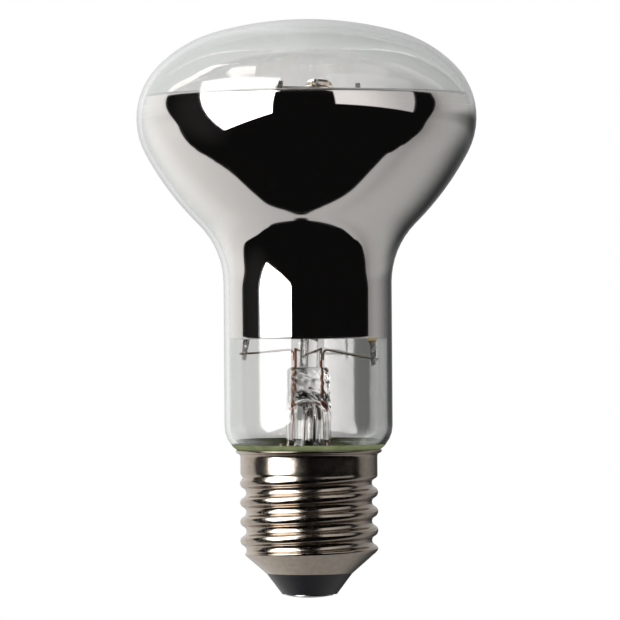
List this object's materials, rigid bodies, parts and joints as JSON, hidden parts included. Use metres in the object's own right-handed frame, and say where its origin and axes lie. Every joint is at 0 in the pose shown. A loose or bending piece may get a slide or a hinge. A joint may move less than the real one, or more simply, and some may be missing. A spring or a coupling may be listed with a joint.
{
  "type": "reflector bulb",
  "caption": "Mushroom-shaped reflector lamp with a clear dome, a mirrored flank, a clear neck over a wire mount and light strips, and a screw cap.",
  "frame": {"origin": "lowest point of the centre contact, on the lamp's axis", "axes": "+Z along the lamp's axis from the cap to the dome, +X to the right and -Y towards the viewer in the picture"},
  "size_m": [0.0642, 0.0642, 0.1093],
  "materials": {
    "clear_glass": "polished",
    "mirror_film": "mirror",
    "stem_glass": "polished",
    "lead_wire": "satin",
    "nickel_wire": "satin",
    "tab_steel": "satin",
    "phosphor": "gloss",
    "nickel_plate": "polished",
    "black_insulator": "satin",
    "contact_metal": "polished",
    "cement": "matt",
    "circuit_board": "satin",
    "capacitor_sleeve": "gloss",
    "ferrite": "matt",
    "copper": "gloss",
    "chip_body": "matt",
    "resistor_body": "satin",
    "tinned_wire": "satin"
  },
  "bodies": {
    "root": {"glass_bulb": "clear_glass", "mirror_coating": "mirror_film", "stem": "stem_glass", "exhaust_tube": "stem_glass", "support_rod": "stem_glass", "lead_in_wire_left": "lead_wire", "lead_in_wire_right": "lead_wire", "upper_cross_wire_low": "nickel_wire", "upper_cross_wire_high": "nickel_wire", "cap_shell": "nickel_plate", "cap_insulator": "black_insulator", "centre_contact": "contact_metal", "basing_cement": "cement", "driver_board": "circuit_board", "smoothing_capacitor": "capacitor_sleeve", "inductor_core": "ferrite", "inductor_coil": "copper", "bridge_rectifier": "chip_body", "driver_chip": "chip_body", "fuse_resistor": "resistor_body", "fuse_lead": "tinned_wire", "live_wire": "tinned_wire", "neutral_wire": "tinned_wire", "light_strip_right": "phosphor", "lower_tab_right": "tab_steel", "upper_tab_right": "tab_steel", "lower_arm_right": "nickel_wire", "light_strip_back": "phosphor", "lower_tab_back": "tab_steel", "upper_tab_back": "tab_steel", "lower_arm_back": "nickel_wire", "light_strip_left": "phosphor", "lower_tab_left": "tab_steel", "upper_tab_left": "tab_steel", "lower_arm_left": "nickel_wire", "light_strip_front": "phosphor", "lower_tab_front": "tab_steel", "upper_tab_front": "tab_steel", "lower_arm_front": "nickel_wire"}
  },
  "joints": []
}
